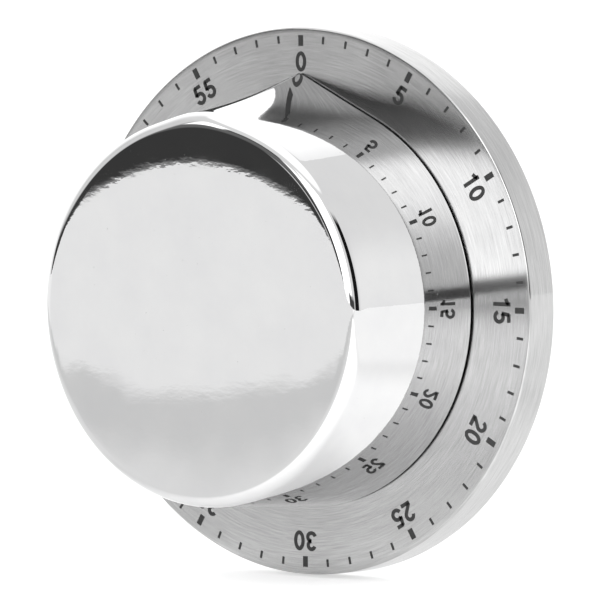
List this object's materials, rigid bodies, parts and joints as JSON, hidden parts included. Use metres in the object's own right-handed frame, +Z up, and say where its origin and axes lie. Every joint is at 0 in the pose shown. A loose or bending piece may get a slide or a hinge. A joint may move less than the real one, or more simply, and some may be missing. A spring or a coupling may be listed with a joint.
{
  "type": "mechanical kitchen timer",
  "caption": "Round steel wind-up kitchen timer: etched sixty-minute dial, large chrome pointer knob that turns on it, flat magnetic back and a bell movement inside.",
  "frame": {"origin": "centre of the flat magnetic back", "axes": "+Y out of the back, so the dial faces -Y; +Z up the dial, through its 0; +X toward 15 on the dial"},
  "size_m": [0.08, 0.0332, 0.08],
  "materials": {
    "chrome": "mirror-bright plating",
    "brushed_steel": "brushed in circles round the dial",
    "black_plastic": "fine matte texture",
    "white_plastic": "natural moulded",
    "brass": "stamped",
    "steel": "bright zinc plated",
    "spring_steel": "blued",
    "bell_steel": "nickel plated",
    "ferrite": "ground ceramic magnet"
  },
  "bodies": {
    "body": {"back_cover": "black_plastic", "bell": "bell_steel", "bell_post": "steel", "bell_screw": "steel", "body_housing": "black_plastic", "cover_screw_1": "steel", "cover_screw_2": "steel", "cover_screw_3": "steel", "dial_bezel": "brushed_steel", "front_plate": "steel", "lever_stud": "steel", "magnet_1": "ferrite", "magnet_2": "ferrite", "magnet_3": "ferrite", "movement_screw_1": "steel", "movement_screw_2": "steel", "movement_screw_3": "steel", "pillar_1": "steel", "pillar_2": "steel", "pillar_3": "steel", "rear_plate": "steel", "standoff_nut_1": "brass", "standoff_nut_2": "brass", "standoff_nut_3": "brass", "stop_stud": "steel"},
    "knob": {"clutch_washer": "spring_steel", "knob_hub": "white_plastic", "knob_shell": "chrome", "main_arbor": "steel", "release_cam": "brass", "stop_pin": "steel"},
    "great_wheel_body": {"great_wheel": "brass"},
    "second_wheel_body": {"second_arbor": "steel", "second_wheel": "brass"},
    "third_wheel_body": {"third_arbor": "steel", "third_wheel": "brass"},
    "escape_wheel_body": {"escape_arbor": "steel", "escape_wheel": "brass"},
    "balance": {"balance_wheel": "brass", "pallet_verge": "steel", "verge_arbor": "steel"},
    "alarm_wheel_body": {"alarm_wheel": "brass", "mainspring": "spring_steel", "spring_post": "steel"},
    "strike_wheel_body": {"strike_arbor": "steel", "strike_wheel": "brass"},
    "hammer": {"hammer_arbor": "steel", "hammer_arm": "steel", "hammer_head": "brass", "hammer_verge": "steel"},
    "lever": {"release_lever": "steel"}
  },
  "joints": [
    {"name": "knob_turn", "type": "hinge", "parent": "body", "child": "knob", "pos_m": [0, -0.0154, 0], "axis": [0, 1, 0], "range_deg": [0, 348], "stiffness_Nm_per_rad": 0.004, "springref_deg": -143.24, "deforming": ["mainspring"]},
    {"name": "great_turn", "type": "hinge", "parent": "body", "child": "great_wheel_body", "pos_m": [0, -0.0154, 0], "axis": [0, 1, 0], "range_deg": [0, 348]},
    {"name": "second_turn", "type": "hinge", "parent": "body", "child": "second_wheel_body", "pos_m": [0.0131, -0.0154, -0.00231], "axis": [0, 1, 0], "range_deg": [-2088, 0]},
    {"name": "third_turn", "type": "hinge", "parent": "body", "child": "third_wheel_body", "pos_m": [0.00937, -0.0154, -0.01107], "axis": [0, 1, 0], "range_deg": [0, 12528]},
    {"name": "escape_turn", "type": "hinge", "parent": "body", "child": "escape_wheel_body", "pos_m": [0.00413, -0.0154, -0.0169], "axis": [0, 1, 0], "range_deg": [-75168, 0]},
    {"name": "balance_swing", "type": "hinge", "parent": "body", "child": "balance", "pos_m": [-0.00307, -0.0154, -0.01672], "axis": [0, 1, 0], "range_deg": [-3, 3]},
    {"name": "alarm_turn", "type": "hinge", "parent": "body", "child": "alarm_wheel_body", "pos_m": [0, -0.0154, 0], "axis": [0, 1, 0], "range_deg": [0, 300], "deforming": ["mainspring"]},
    {"name": "strike_turn", "type": "hinge", "parent": "body", "child": "strike_wheel_body", "pos_m": [-0.0131, -0.0154, 0.00231], "axis": [0, 1, 0], "range_deg": [-1800, 0]},
    {"name": "hammer_swing", "type": "hinge", "parent": "body", "child": "hammer", "pos_m": [-0.01593, -0.0154, 0.00838], "axis": [0, 1, 0], "range_deg": [-2.5, 2.5]},
    {"name": "lever_lift", "type": "hinge", "parent": "body", "child": "lever", "pos_m": [-0.01597, -0.0154, -0.00581], "axis": [0, -1, 0], "range_deg": [0, 6]}
  ],
  "couplings": [
    {"joint": "great_turn", "follows": "knob_turn", "ratio": 1},
    {"joint": "second_turn", "follows": "knob_turn", "ratio": -6},
    {"joint": "third_turn", "follows": "knob_turn", "ratio": 36},
    {"joint": "escape_turn", "follows": "knob_turn", "ratio": -216},
    {"joint": "strike_turn", "follows": "alarm_turn", "ratio": -6}
  ]
}
